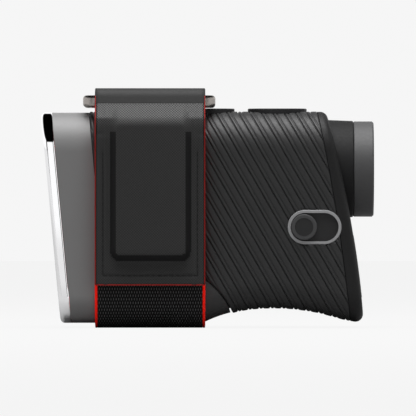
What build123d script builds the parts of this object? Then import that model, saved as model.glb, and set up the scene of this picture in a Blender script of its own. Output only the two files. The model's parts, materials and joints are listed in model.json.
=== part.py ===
from build123d import *
import math
import os

# A pocket laser rangefinder with a magnetic wrap strap. Millimetres. X runs from the lenses to
# the eyepiece, Y from the user's left to the right, Z up. The origin lies under the strap, on the
# flat underside that the rangefinder rests on.

# Body
top_z = 72.9  # top of the body
base_z = 1.65  # underside of the body, above the strap's underside
half_width = 20.0
top_corner = 13.0  # radius of the body's upper long edges
base_corner = 9.0  # radius of its lower long edges
nose_x = -37.0  # front face, at the top
nose_slant = 5.4  # degrees that the front leans forward
rear_top = (59.35, top_z)  # the rear face is one shallow arc, and the rear cover stands proud of it
rear_middle = (67.3, 38.0)
rear_base = (72.05, 1.9)
waist_front = 17.8  # the underside is hollowed from here to the rear face
waist = [(67.0, 2.75), (56.0, 5.5), (42.7, 6.9), (29.0, 5.6)]
rear_edge = 2.3  # rounding round the rear face
bezel_depth = 3.65
shell_rear_x = -20.8  # rear edge of the front shell, at the top
grip_skin = 1.5
casing_wall = 2.0
rib_height = 0.3  # that the grip and the rear cover stand proud of the body
parting = 0.35  # step along X and Z of the open line between grip and smooth casing

# Optics
view_z = 53.8  # axis of the objective and the eyepiece
laser_z = 24.5  # axis of the laser lens
objective_bore = 13.0
laser_bore = 9.5
eyepiece_radius = 16.68
ring_seam_x = 68.9
eyepiece_end_x = 75.8
ring_radius = 16.2

# Buttons and slide switch
button_length = 20.0
button_width = 22.0
button_corner = 8.0
button_top_z = 74.3
fire_x = 43.1
mode_x = 18.6
switch_x = 55.6
switch_z = 34.1
switch_length = 18.2
switch_height = 11.6
trim_width = 1.0
knob_radius = 4.375
knob_travel = 7.1
stem_radius = 0.7

# Battery, a 15.6 mm cell 27 mm long, behind a hinged door in the rear face
battery_z = 20.6
battery_radius = 7.8
door_low_z = 8.8
door_high_z = 31.4
door_width = 24.0
hinge_radius = 1.5
door_proud = rib_height + 0.2

# Strap
strap_half = 18.67
band_thickness = 1.6
band_gap = 0.05
edging_width = 1.0
flap_thickness = 2.0
flap_inner_y = -22.8
flap_end_z = 14.4
flap_trim = 0.4
bar_y = 14.5  # the ring's two long bars lie this far from the middle
bar_z = 76.7
ring_height = 4.0  # the ring is cast, with rounded edges
ring_width = 3.2
ring_edge = 1.2
ring_left_x = -22.75
ring_right_x = 22.1

# Casing screws, as (x, z) of their axes
casing_posts = [(-12.0, 37.9), (-10.0, 9.1), (14.0, 9.0), (52.0, 40.5)]
board_posts = [(-4.0, 56.0), (44.0, 56.0), (-4.0, 16.0), (44.0, 31.0)]

os.makedirs("parts", exist_ok=True)


def save(piece, name):
    piece.part.label = name
    export_step(piece.part, f"parts/{name}.step")


def slant_plane(x):
    """A plane parallel to the front face that crosses the top of the body at x."""
    lean = math.radians(nose_slant)
    return Plane(origin=(x, 0, top_z), x_dir=(0, 1, 0), z_dir=(math.cos(lean), 0, math.sin(lean)))


def body_block(inset, reach=0.0):
    """The body's outer shape moved inwards by inset, with its nose reach further forward."""
    top = top_z - inset
    base = base_z + inset
    nose_top = (nose_x - reach, top)
    nose_base = (nose_x - reach + (top - base) * math.tan(math.radians(nose_slant)), base)
    back_top = (rear_top[0] - 0.75 * inset, top)
    back_middle = (rear_middle[0] - inset, rear_middle[1])
    back_base = (rear_base[0] - inset, rear_base[1] + inset)
    low_radius = min(base_corner - inset, 4.5) if inset > 2.5 else base_corner - inset
    with BuildPart(mode=Mode.PRIVATE) as block:
        with BuildSketch(Plane.XZ):
            with BuildLine():
                Line(nose_top, back_top)
                ThreePointArc(back_top, back_middle, back_base)
                Spline(back_base, *[(x, z + inset) for x, z in waist], (waist_front, base))
                Polyline((waist_front, base), nose_base, nose_top)
            make_face()
        extrude(amount=half_width - inset, both=True)
        long_edges = block.edges().filter_by(Axis.X)
        fillet(long_edges.group_by(Axis.Z)[-1], top_corner - inset)
        sides = block.faces().filter_by(Axis.Y)
        low_edges = sides.edges().filter_by(lambda e: e.center().Z < 12 and e.center().X > -30)
        fillet(low_edges.filter_by(lambda e: abs(e.tangent_at(0.5).X) > 0.5), low_radius)
        if rear_edge - inset > 0.3:
            fillet(block.faces().sort_by(Axis.X)[-1].edges(), rear_edge - inset)
    return block.part


def behind(shape, x):
    """What lies behind the plane parallel to the front face that crosses the top at x."""
    return split(shape, bisect_by=slant_plane(x), keep=Keep.TOP, mode=Mode.PRIVATE)


def ahead_of(shape, x):
    return split(shape, bisect_by=slant_plane(x), keep=Keep.BOTTOM, mode=Mode.PRIVATE)


def between(shape, front_x, rear_x):
    """What lies between two planes parallel to the front face."""
    return ahead_of(behind(shape, front_x), rear_x)


def rod(x_start, x_end, z, radius):
    """A solid cylinder along X."""
    start = Plane(origin=(x_start, 0, z), x_dir=(0, 1, 0), z_dir=(1, 0, 0))
    on_start = (Align.CENTER, Align.CENTER, Align.MIN)
    return start * Cylinder(radius, x_end - x_start, align=on_start, mode=Mode.PRIVATE)


def slab(corner, opposite):
    """A box given by two opposite corners."""
    size = [b - a for a, b in zip(corner, opposite)]
    return Pos(*corner) * Box(*size, align=Align.MIN, mode=Mode.PRIVATE)


outer = body_block(0)
under_grip = body_block(grip_skin)
cavity = body_block(grip_skin + casing_wall, reach=10)

# Side-view region behind the smooth lower front, which the rubber grip covers.
with BuildPart() as grip_zone:
    with BuildSketch(Plane.XZ):
        with BuildLine():
            Line((-30, 47.8), (17.5, 17.0))
            ThreePointArc((17.5, 17.0), (23.0, 12.0), (26.8, 6.5))
            Polyline((26.8, 6.5), (30, -4), (90, -4), (90, 90), (-30, 90), (-30, 47.8))
        make_face()
    extrude(amount=40, both=True)

# Side-view region of the rear cover, parallel to the rear face.
with BuildPart() as rear_zone:
    with BuildSketch(Plane.XZ):
        with BuildLine():
            ThreePointArc((56.1, 76), (63.3, 38), (68.3, -2))
            Polyline((68.3, -2), (90, -2), (90, 76), (56.1, 76))
        make_face()
    extrude(amount=40, both=True)


def stadium(x, z, length, height, y_outer, y_inner):
    """A slot-shaped block on the left side, from y_outer to y_inner."""
    with BuildPart(mode=Mode.PRIVATE) as block:
        with BuildSketch(Plane.XZ.offset(-y_inner)):
            with Locations((x, z)):
                SlotOverall(length, height)
        extrude(amount=y_inner - y_outer)
    return block.part


def button_hole(x, slack):
    """An upright block with a button's outline and some slack."""
    with BuildPart(mode=Mode.PRIVATE) as block:
        with BuildSketch(Plane.XY.offset(60)):
            with Locations((x, 0)):
                RectangleRounded(
                    button_length + 2 * slack, button_width + 2 * slack, button_corner + slack
                )
        extrude(amount=20)
    return block.part


button_holes = [button_hole(fire_x, 0.3), button_hole(mode_x, 0.3)]
switch_pocket = stadium(switch_x, switch_z, switch_length, switch_height, -30, -17.6)
# The slot lies under the knob at rest, because the knob's stem is near its front rim.
knob_x = switch_x - knob_travel / 2
slot_height = 2 * stem_radius + 0.2
switch_slot = stadium(knob_x, switch_z, knob_travel + slot_height, slot_height, -30, -14)

# ---------------------------------------------------------------- front end

with BuildPart() as front_bezel:
    add(between(outer, nose_x - 1, nose_x + bezel_depth))
    fillet(front_bezel.faces().sort_by(Axis.X)[0].edges(), 1.3)
    add(body_block(3.2, reach=12), mode=Mode.SUBTRACT)
save(front_bezel, "front_bezel")

with BuildPart() as front_shell:
    add(between(outer, nose_x + bezel_depth, shell_rear_x))
    add(body_block(2.0, reach=12), mode=Mode.SUBTRACT)
save(front_shell, "front_shell")

with BuildPart() as front_panel:
    add(between(body_block(3.25, reach=12), nose_x + 1.8, nose_x + 3.5))
    add(rod(-45, 0, view_z, objective_bore + 1.55), mode=Mode.SUBTRACT)
    add(rod(-45, 0, laser_z, laser_bore + 1.55), mode=Mode.SUBTRACT)
save(front_panel, "front_panel")

front_optics = Plane(origin=(0, 0, view_z), x_dir=(1, 0, 0), z_dir=(0, -1, 0))
laser_optics = Plane(origin=(0, 0, laser_z), x_dir=(1, 0, 0), z_dir=(0, -1, 0))

with BuildPart() as objective_tube:
    with BuildSketch(front_optics):
        with BuildLine():
            Polyline((-32.4, 14.5), (-17, 14.5), (-11, 11), (12, 11), (12, 9), (-9, 9), (-24, 11.5))
            Polyline((-24, 11.5), (-26, 11.5), (-26, 13), (-32.4, 13), (-32.4, 14.5))
        make_face()
    revolve(axis=Axis((0, 0, view_z), (1, 0, 0)))
save(objective_tube, "objective_tube")


def lens(plane, z, radius, faces):
    """A round lens with faces (front vertex, front edge, rear edge, rear vertex) along X."""
    front, front_edge, rear_edge_x, rear = faces
    with BuildPart() as glass:
        with BuildSketch(plane):
            with BuildLine():
                arc = ThreePointArc((front_edge, -radius), (front, 0), (front_edge, radius))
                Line(arc @ 1, (rear_edge_x, radius))
                back = ThreePointArc((rear_edge_x, radius), (rear, 0), (rear_edge_x, -radius))
                Line(back @ 1, arc @ 0)
            make_face()
            with Locations((0, -radius - 1)):
                Rectangle(400, 2 * radius + 2, mode=Mode.SUBTRACT)
        revolve(axis=Axis((0, 0, z), (1, 0, 0)))
    return glass


def collar(x_start, x_end, z, radius, bore):
    """A plain ring along X."""
    with BuildPart() as ring:
        add(rod(x_start, x_end, z, radius))
        add(rod(x_start - 1, x_end + 1, z, bore), mode=Mode.SUBTRACT)
    return ring


objective_lens = lens(front_optics, view_z, objective_bore - 0.03, (-31.3, -29.4, -26, -26.6))
save(objective_lens, "objective_lens")

objective_retainer = collar(-31.7, -29.8, view_z, objective_bore - 0.03, 12.2)
save(objective_retainer, "objective_retainer")

with BuildPart() as laser_tube:
    with BuildSketch(laser_optics):
        with BuildLine():
            Polyline((-29.9, 11), (-4, 11), (-4, 6.4), (-6, 6.4), (-6, 8), (-24, 8), (-24, 9.5))
            Polyline((-24, 9.5), (-29.9, 9.5), (-29.9, 11))
        make_face()
    revolve(axis=Axis((0, 0, laser_z), (1, 0, 0)))
save(laser_tube, "laser_tube")

laser_lens = lens(laser_optics, laser_z, laser_bore - 0.03, (-29.0, -27.4, -24, -24.4))
save(laser_lens, "laser_lens")

laser_lens_retainer = collar(-29.4, -27.75, laser_z, laser_bore - 0.03, 8.8)
save(laser_lens_retainer, "laser_lens_retainer")

with BuildPart() as laser_diode:
    add(rod(-6, -1.5, laser_z, 6.37))
    add(rod(-1.5, 0.5, laser_z, 8.0))
    add(rod(-8.0, -6, laser_z, 2.8))
save(laser_diode, "laser_diode")

# ---------------------------------------------------------------- casing and grip

with BuildPart() as stepped_body:
    add(outer)
    add(grip_zone.part, mode=Mode.SUBTRACT)
    add(under_grip)
casing_body = behind(stepped_body.part, shell_rear_x)

# The ribs lie flat where the strap presses on them.
with BuildPart() as under_strap:
    add(slab((-strap_half - 0.3, -30, -10), (strap_half + 0.3, 30, 90)))
    add(outer, mode=Mode.SUBTRACT)

with BuildPart() as casing_shell:
    add(casing_body)
    add(between(body_block(2.05, reach=12), shell_rear_x - 4, shell_rear_x))
    add(rear_zone.part, mode=Mode.SUBTRACT)
    add(cavity, mode=Mode.SUBTRACT)
    add(rod(57, 61, view_z, 15.6), mode=Mode.SUBTRACT)
    add(rod(60, 80, view_z, eyepiece_radius + 0.1), mode=Mode.SUBTRACT)
    add(button_holes, mode=Mode.SUBTRACT)
    add(switch_pocket, mode=Mode.SUBTRACT)
    add(switch_slot, mode=Mode.SUBTRACT)
    with BuildSketch(Plane.XZ.offset(-17.5)):
        with Locations(casing_posts):
            Circle(2.1)
    extrude(amount=35)

left_half = split(casing_shell.part, bisect_by=Plane.XZ, keep=Keep.TOP)
right_half = split(casing_shell.part, bisect_by=Plane.XZ, keep=Keep.BOTTOM)

with BuildPart() as left_casing:
    add(left_half)
    with BuildSketch(Plane.XZ):
        with Locations(casing_posts):
            Circle(1.05)
    extrude(amount=40, mode=Mode.SUBTRACT)
    with BuildSketch(Plane.XZ.offset(14.5)):
        with Locations(casing_posts):
            Circle(1.95)
    extrude(amount=10, mode=Mode.SUBTRACT)
save(left_casing, "left_casing")

with BuildPart() as right_casing:
    add(right_half)
    with BuildSketch(Plane.XZ.offset(-16.6)):
        with Locations(board_posts):
            Circle(2.0)
    extrude(amount=1.8)
    with BuildSketch(Plane.XZ):
        with Locations(casing_posts):
            Circle(1.03)
    extrude(amount=-10.5, mode=Mode.SUBTRACT)
    with BuildSketch(Plane.XZ.offset(-14.8)):
        with Locations(board_posts):
            Circle(0.83)
    extrude(amount=-1.5, mode=Mode.SUBTRACT)
save(right_casing, "right_casing")

with BuildPart() as rubber_grip:
    add(behind(body_block(-rib_height), shell_rear_x))
    add(Pos(parting, 0, parting) * grip_zone.part, mode=Mode.INTERSECT)
    add(rear_zone.part, mode=Mode.SUBTRACT)
    add(under_grip, mode=Mode.SUBTRACT)
    add(under_strap.part, mode=Mode.SUBTRACT)
    add(button_holes, mode=Mode.SUBTRACT)
    add(switch_pocket, mode=Mode.SUBTRACT)
save(rubber_grip, "rubber_grip")

# ---------------------------------------------------------------- rear cover and battery door


def door_outline(slack, wall=0.0):
    """The door's outline carried through the rear wall, with slack all round."""
    height = door_high_z - door_low_z + 2 * slack - 2 * wall
    width = door_width + 2 * slack - 2 * wall
    plane = Plane(origin=(60, 0, (door_low_z + door_high_z) / 2), x_dir=(0, 1, 0), z_dir=(1, 0, 0))
    with BuildPart(mode=Mode.PRIVATE) as block:
        with BuildSketch(plane) as outline:
            Rectangle(width, height)
            fillet(outline.vertices().group_by(Axis.Y)[-1], 5.0 + slack - wall)
            fillet(outline.vertices().group_by(Axis.Y)[0], 0.6)
        extrude(amount=16)
    return block.part


hinge_z = door_low_z + hinge_radius
hinge_x = 69.98


def hinge_rod(radius, half_length):
    """A solid cylinder on the door's hinge axis."""
    middle = Plane(origin=(hinge_x, 0, hinge_z), x_dir=(1, 0, 0), z_dir=(0, 1, 0))
    return middle * Cylinder(radius, 2 * half_length, mode=Mode.PRIVATE)


with BuildPart() as rear_cover:
    add(body_block(-rib_height))
    add(rear_zone.part, mode=Mode.INTERSECT)
    add(body_block(3.0, reach=12), mode=Mode.SUBTRACT)
    add(rod(60, 80, view_z, eyepiece_radius + 0.02), mode=Mode.SUBTRACT)
    add(rod(40, 60, view_z, 15.6), mode=Mode.SUBTRACT)
    add(door_outline(0.3), mode=Mode.SUBTRACT)
    add(switch_pocket, mode=Mode.SUBTRACT)
    add(hinge_rod(0.53, door_width / 2 + 2), mode=Mode.SUBTRACT)
save(rear_cover, "rear_cover")

with BuildPart() as battery_door:
    add(body_block(-door_proud))
    add(body_block(1.5, reach=12), mode=Mode.SUBTRACT)
    add(door_outline(0), mode=Mode.INTERSECT)
    add(slab((50, -30, hinge_z), (90, 30, 60)), mode=Mode.INTERSECT)
    add(hinge_rod(hinge_radius, door_width / 2 - 0.6))
    add(rod(67.75, 69.85, battery_z, 3))
    add(hinge_rod(0.53, door_width), mode=Mode.SUBTRACT)
save(battery_door, "battery_door")

with BuildPart() as door_pin:
    add(hinge_rod(0.5, door_width / 2 + 1.9))
save(door_pin, "door_pin")

with BuildPart() as door_seal:
    add(body_block(1.5, reach=12))
    add(body_block(2.15, reach=12), mode=Mode.SUBTRACT)
    add(door_outline(0, wall=3.5), mode=Mode.INTERSECT)
    add(door_outline(0, wall=4.5), mode=Mode.SUBTRACT)
save(door_seal, "door_seal")

with BuildPart() as door_contact:
    add(rod(67.35, 67.75, battery_z, 4.0))
save(door_contact, "door_contact")

with BuildPart() as battery:
    add(rod(40.3, 66.65, battery_z, battery_radius))
    fillet(battery.edges(), 0.6)
    add(rod(66.65, 67.25, battery_z, 3.2))
save(battery, "battery")

with BuildPart() as battery_tube:
    add(rod(38.1, 66.25, battery_z, 9.6))
    add(rod(38.7, 70, battery_z, 8.0), mode=Mode.SUBTRACT)
    fillet(battery_tube.edges().sort_by(Axis.X)[0], 0.4)
save(battery_tube, "battery_tube")

with BuildPart() as battery_spring:
    with BuildLine():
        coil = Helix(0.5, 1.0, 5, center=(39.0, 0, battery_z), direction=(1, 0, 0))
    with BuildSketch(Plane(origin=coil @ 0, z_dir=coil % 0)):
        Circle(0.25)
    sweep()
save(battery_spring, "battery_spring")

# ---------------------------------------------------------------- eyepiece

with BuildPart() as eyepiece_barrel:
    with BuildSketch(front_optics):
        with BuildLine():
            Polyline((57.6, 15.4), (58.2, 15.4), (58.2, 14.6), (59.3, 14.6), (59.3, 15.4))
            Polyline((59.3, 15.4), (60.2, 15.4), (60.2, eyepiece_radius), (ring_seam_x - 0.25, 16.35))
            Polyline((ring_seam_x - 0.25, 16.35), (ring_seam_x, 16.1), (ring_seam_x, 14), (73.8, 14))
            Polyline((73.8, 14), (73.8, 13), (57.6, 13), (57.6, 15.4))
        make_face()
    revolve(axis=Axis((0, 0, view_z), (1, 0, 0)))
save(eyepiece_barrel, "eyepiece_barrel")

ring_start = ring_seam_x + 0.1
with BuildPart() as diopter_ring:
    with BuildSketch(front_optics):
        with BuildLine():
            Polyline((ring_start, 14.05), (ring_start, ring_radius - 0.25), (ring_start + 0.25, ring_radius))
            Polyline((ring_start + 0.25, ring_radius), (eyepiece_end_x - 0.5, ring_radius))
            Polyline((eyepiece_end_x - 0.5, ring_radius), (eyepiece_end_x, ring_radius - 0.5))
            Polyline((eyepiece_end_x, ring_radius - 0.5), (eyepiece_end_x, 14.2), (75, 12.95))
            Polyline((75, 12.95), (74.1, 12.95), (74.1, 14.05), (ring_start, 14.05))
        make_face()
    revolve(axis=Axis((0, 0, view_z), (1, 0, 0)))
save(diopter_ring, "diopter_ring")

with BuildPart() as eyepiece_cell:
    with BuildSketch(front_optics):
        with BuildLine():
            Polyline((58, 12.93), (75, 12.93), (75, 11.2), (71.3, 11.2), (71.3, 10.2))
            Polyline((71.3, 10.2), (61, 10.2), (61, 11.2), (58, 11.2), (58, 12.93))
        make_face()
    revolve(axis=Axis((0, 0, view_z), (1, 0, 0)))
save(eyepiece_cell, "eyepiece_cell")

field_lens = lens(front_optics, view_z, 11.17, (58.6, 59.4, 61, 60.7))
save(field_lens, "field_lens")

eye_lens = lens(front_optics, view_z, 11.17, (70.9, 71.5, 73.6, 74.6))
save(eye_lens, "eye_lens")

eye_lens_retainer = collar(73.9, 75.0, view_z, 11.17, 10.4)
save(eye_lens_retainer, "eye_lens_retainer")

with BuildPart() as eyepiece_seal:
    add(rod(58.25, 59.25, view_z, 15.57))
    add(rod(57, 60, view_z, 14.62), mode=Mode.SUBTRACT)
save(eyepiece_seal, "eyepiece_seal")

# ---------------------------------------------------------------- buttons and slide switch

for name, x in [("fire_button", fire_x), ("mode_button", mode_x)]:
    with BuildPart() as button:
        with BuildSketch(Plane.XY.offset(69.35)):
            with Locations((x, 0)):
                RectangleRounded(button_length, button_width, button_corner)
        extrude(amount=button_top_z - 69.35)
        fillet(button.edges().group_by(Axis.Z)[-1], 0.35)
        add(slab((x - 10.9, -6.5, 68.7), (x + 10.9, 6.5, 69.35)))
        add(slab((x - 1.5, -1.5, 68.45), (x + 1.5, 1.5, 68.7)))
    save(button, name)

for name, x in [("fire_switch", fire_x), ("mode_switch", mode_x)]:
    with BuildPart() as tact:
        add(slab((x - 3, -3, 66.5), (x + 3, 3, 67.4)))
        with BuildSketch(Plane.XY.offset(67.4)):
            with Locations((x, 0)):
                Circle(1.6)
        extrude(amount=0.4)
    save(tact, name)

with BuildPart() as button_board:
    add(slab((6, -8, 65.9), (56, 8, 66.5)))
save(button_board, "button_board")

with BuildPart() as switch_plate:
    add(
        stadium(switch_x, switch_z, switch_length - 2 * trim_width, switch_height - 2 * trim_width,
                -19.4, -17.6)
    )
    add(switch_slot, mode=Mode.SUBTRACT)
save(switch_plate, "switch_plate")

with BuildPart() as switch_trim:
    add(stadium(switch_x, switch_z, switch_length, switch_height, -20.55, -17.6))
    fillet(switch_trim.edges().group_by(Axis.Y)[0], 0.25)
    add(
        stadium(switch_x, switch_z, switch_length - 2 * trim_width, switch_height - 2 * trim_width,
                -30, -10),
        mode=Mode.SUBTRACT,
    )
save(switch_trim, "switch_trim")

stem_x = knob_x - knob_travel / 2
with BuildPart() as slope_knob:
    with BuildSketch(Plane.XZ.offset(19.7)):
        with Locations((knob_x, switch_z)):
            Circle(knob_radius)
    extrude(amount=1.8)
    fillet(slope_knob.edges().group_by(Axis.Y)[0], 0.4)
    with BuildSketch(Plane.XZ.offset(15.4)):
        with Locations((stem_x, switch_z)):
            Circle(stem_radius)
    extrude(amount=4.3)
    with BuildSketch(Plane.XZ.offset(21.1)):
        with Locations((knob_x, switch_z)):
            Circle(3.1)
    extrude(amount=1, mode=Mode.SUBTRACT)
save(slope_knob, "slope_knob")

with BuildPart() as knob_inlay:
    with BuildSketch(Plane.XZ.offset(21.1)):
        with Locations((knob_x, switch_z)):
            Circle(3.08)
    extrude(amount=0.2)
save(knob_inlay, "knob_inlay")

with BuildPart() as slide_switch:
    add(slab((knob_x - 6, -14.9, switch_z - 3), (knob_x + 6, -11.5, switch_z + 3)))
save(slide_switch, "slide_switch")

# ---------------------------------------------------------------- inside the casing


def bulkhead(x_start, x_end, holes):
    """A wall across the cavity, cut away beside the main board, with (z, radius) round holes."""
    with BuildPart() as wall:
        add(cavity)
        add(slab((x_start, -30, 0), (x_end, 12.5, 65.5)), mode=Mode.INTERSECT)
        for z, radius in holes:
            add(rod(x_start - 1, x_end + 1, z, radius), mode=Mode.SUBTRACT)
    return wall


front_bulkhead = bulkhead(-7.5, -5.5, [(view_z, 11.05), (laser_z, 11.05)])
save(front_bulkhead, "front_bulkhead")

rear_bulkhead = bulkhead(36.1, 38.1, [(view_z, 9.5)])
save(rear_bulkhead, "rear_bulkhead")

with BuildPart() as prism_housing:
    add(slab((12, -12, 42), (36.1, 12, 65.6)))
    add(slab((14, -10, 44), (34.1, 10, 63.6)), mode=Mode.SUBTRACT)
    add(rod(10, 40, view_z, 8.5), mode=Mode.SUBTRACT)
save(prism_housing, "prism_housing")

with BuildPart() as roof_prism:
    add(slab((14.05, -9.95, 44.05), (34.05, 9.95, 63.55)))
    chamfer(roof_prism.edges().filter_by(Axis.Y), 4.5)
save(roof_prism, "roof_prism")

with BuildPart() as display_frame:
    add(slab((38.1, -12, 43.6), (40.6, 12, 64.0)))
    add(slab((38.9, -10.5, 45), (39.9, 10.5, 62.6)), mode=Mode.SUBTRACT)
    add(rod(37, 42, view_z, 8.4), mode=Mode.SUBTRACT)
save(display_frame, "display_frame")

with BuildPart() as display_panel:
    add(slab((38.95, -10.45, 45.05), (39.85, 10.45, 62.55)))
save(display_panel, "display_panel")

with BuildPart() as receiver_diode:
    with BuildSketch(Plane.XY.offset(38.5)):
        with Locations((24, 0)):
            Circle(4.0)
    extrude(amount=3.5)
save(receiver_diode, "receiver_diode")

with BuildPart() as main_board:
    add(slab((-8, 13.6, 12), (48, 14.8, 60)))
    with BuildSketch(Plane.XZ.offset(-13)):
        with Locations(board_posts):
            Circle(0.85)
    extrude(amount=-3, mode=Mode.SUBTRACT)
save(main_board, "main_board")

with BuildPart() as board_chips:
    for x, z, width, height in [(10, 40, 9, 9), (26, 30, 7, 7), (6, 22, 6, 5), (38, 44, 5, 6)]:
        add(slab((x - width / 2, 12.6, z - height / 2), (x + width / 2, 13.6, z + height / 2)))
save(board_chips, "board_chips")

with BuildPart() as casing_screws:
    with BuildSketch(Plane.XZ.offset(-10)):
        with Locations(casing_posts):
            Circle(1.0)
    extrude(amount=24.5)
    with BuildSketch(Plane.XZ.offset(14.5)):
        with Locations(casing_posts):
            Circle(1.9)
    extrude(amount=1.4)
save(casing_screws, "casing_screws")

with BuildPart() as board_screws:
    with BuildSketch(Plane.XZ.offset(-16.2)):
        with Locations(board_posts):
            Circle(0.8)
    extrude(amount=2.6)
    with BuildSketch(Plane.XZ.offset(-13.6)):
        with Locations(board_posts):
            Circle(1.5)
    extrude(amount=0.9)
save(board_screws, "board_screws")

# ---------------------------------------------------------------- strap


def wrap_angle(corner_radius, bar_wrap, crossing):
    """Direction, in degrees, of the straight run from a body corner to the near bar."""
    rise = bar_z - (top_z - top_corner)
    sideways = bar_y - (half_width - top_corner)
    reach = math.hypot(rise, sideways)
    across = corner_radius + bar_wrap if crossing else corner_radius - bar_wrap
    swing = math.degrees(math.acos(across / reach))
    lean = math.degrees(math.atan2(rise, -sideways))
    return lean + swing


def polar(center, radius, angle):
    turn = math.radians(angle)
    return (center[0] + radius * math.cos(turn), center[1] + radius * math.sin(turn))


side_y = half_width + band_gap + band_thickness / 2
low_radius = base_corner + band_gap + band_thickness / 2
high_radius = top_corner + band_gap + band_thickness / 2
low_center = (half_width - base_corner, base_z + base_corner)
high_center = (half_width - top_corner, top_z - top_corner)
bar_wrap = ring_height / 2 + 0.15 + band_thickness / 2
inner_turn = wrap_angle(high_radius, bar_wrap, crossing=True)
outer_turn = wrap_angle(high_radius, bar_wrap, crossing=False)
far_bar = (bar_y, bar_z)
near_bar = (-bar_y, bar_z)


# The band in section: under the near bar, round the body, sewn round the far bar.
near_center = (-high_center[0], high_center[1])
with BuildSketch() as band_section:
    with BuildLine():
        Line((0, band_thickness / 2), (-low_center[0], band_thickness / 2))
        CenterArc((-low_center[0], low_center[1]), low_radius, 270, -90)
        Line((-side_y, low_center[1]), (-side_y, high_center[1]))
        corner = CenterArc(near_center, high_radius, 180, inner_turn - 180)
        Line(corner @ 1, polar(near_bar, bar_wrap, inner_turn - 180))
        CenterArc(near_bar, bar_wrap, inner_turn - 180, 14)
    trace(line_width=band_thickness)
    with BuildLine():
        Line((0, band_thickness / 2), (low_center[0], band_thickness / 2))
        CenterArc(low_center, low_radius, 270, 90)
        Line((side_y, low_center[1]), (side_y, high_center[1]))
        corner = CenterArc(high_center, high_radius, 0, 180 - outer_turn)
        Line(corner @ 1, polar(far_bar, bar_wrap, 180 - outer_turn))
        loop = CenterArc(far_bar, bar_wrap, 180 - outer_turn, outer_turn - inner_turn + 180)
        Line(loop @ 1, polar(high_center, high_radius, 180 - inner_turn))
    trace(line_width=band_thickness)
    with BuildLine():
        CenterArc(high_center, high_radius, 0, 180 - inner_turn)
    trace(line_width=band_thickness)

with BuildPart() as strap_band:
    with BuildSketch(Plane.YZ):
        add(band_section.sketch)
    extrude(amount=strap_half - edging_width, both=True)
save(strap_band, "strap_band")

with BuildPart() as band_edging:
    with BuildSketch(Plane.YZ.offset(strap_half - edging_width)):
        add(band_section.sketch)
    extrude(amount=edging_width)
    mirror(about=Plane.YZ)
save(band_edging, "band_edging")

with BuildPart() as strap_ring:
    middle_x = (ring_left_x + ring_right_x) / 2
    reach_x = (ring_right_x - ring_left_x - ring_width) / 2
    with BuildLine(Plane.XY.offset(bar_z)):
        wire = FilletPolyline(
            (middle_x - reach_x, -bar_y), (middle_x + reach_x, -bar_y),
            (middle_x + reach_x, bar_y), (middle_x - reach_x, bar_y), radius=2.05, close=True,
        )
    with BuildSketch(Plane(origin=wire @ 0, x_dir=(0, 0, 1), z_dir=wire % 0)):
        RectangleRounded(ring_height, ring_width, ring_edge)
    sweep()
save(strap_ring, "strap_ring")


def flap_hull(out, end_z):
    """Cross-section enclosed by the flap's surface that lies out mm beyond its inner face."""
    wrap = ring_height / 2 + 0.36 + out
    corner = -flap_inner_y - high_center[0] + out
    side = -flap_inner_y + out
    with BuildSketch(mode=Mode.PRIVATE) as hull:
        with Locations(near_bar):
            Circle(wrap)
        with Locations((-high_center[0], high_center[1])):
            Circle(corner)
        with Locations((-side / 2, end_z)):
            Rectangle(side, 0.02, align=(Align.CENTER, Align.MIN))
        make_hull()
    return hull.sketch_local


def draw_flap(end_z):
    """Draw the flap's section, from over the near bar down the body's side to end_z."""
    add(flap_hull(flap_thickness, end_z))
    add(flap_hull(0, end_z - 5), mode=Mode.SUBTRACT)
    with Locations((-bar_y, 0)):
        Rectangle(80, 100, align=Align.MIN, mode=Mode.SUBTRACT)


with BuildPart() as strap_flap:
    with BuildSketch(Plane.YZ):
        draw_flap(flap_end_z + flap_trim)
    extrude(amount=strap_half - flap_trim, both=True)
save(strap_flap, "strap_flap")

with BuildPart() as flap_edging:
    with BuildSketch(Plane.YZ):
        draw_flap(flap_end_z)
    extrude(amount=strap_half, both=True)
    with BuildSketch(Plane.YZ):
        draw_flap(flap_end_z + flap_trim)
    extrude(amount=strap_half - flap_trim, both=True, mode=Mode.SUBTRACT)
save(flap_edging, "flap_edging")

pad_face_y = flap_inner_y - flap_thickness - 3.0
with BuildPart() as magnet_pad:
    with BuildSketch(Plane.XZ.offset(-pad_face_y)):
        with Locations((0, 45.45)):
            RectangleRounded(23.6, 40.1, 1.2)
    with BuildSketch(Plane.XZ.offset(-pad_face_y - 8.0)):
        with Locations((0, 46.05)):
            RectangleRounded(27.6, 47.9, 1.5)
    loft()
    with BuildSketch(Plane.YZ):
        add(flap_hull(flap_thickness, 0))
    extrude(amount=30, both=True, mode=Mode.SUBTRACT)
    with BuildSketch(Plane.XZ.offset(-flap_inner_y + flap_thickness)):
        with Locations([(0, 31), (0, 45), (0, 59)]):
            Circle(6.05)
    extrude(amount=2.05, mode=Mode.SUBTRACT)
save(magnet_pad, "magnet_pad")

with BuildPart() as pad_magnets:
    with BuildSketch(Plane.XZ.offset(-flap_inner_y + flap_thickness)):
        with Locations([(0, 31), (0, 45), (0, 59)]):
            Circle(6.0)
    extrude(amount=2.0)
save(pad_magnets, "pad_magnets")

with BuildPart() as hook_patch:
    add(slab((-15, flap_inner_y, 18), (15, flap_inner_y + 0.4, 57)))
save(hook_patch, "hook_patch")

loop_y = -(half_width + band_gap + band_thickness)
with BuildPart() as loop_patch:
    add(slab((-15, loop_y - 0.4, 16), (15, loop_y, 59)))
save(loop_patch, "loop_patch")
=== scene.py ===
"""Looks for the laser rangefinder: ribbed rubber grip, woven strap, materials, light and camera."""
import json
import math

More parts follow.
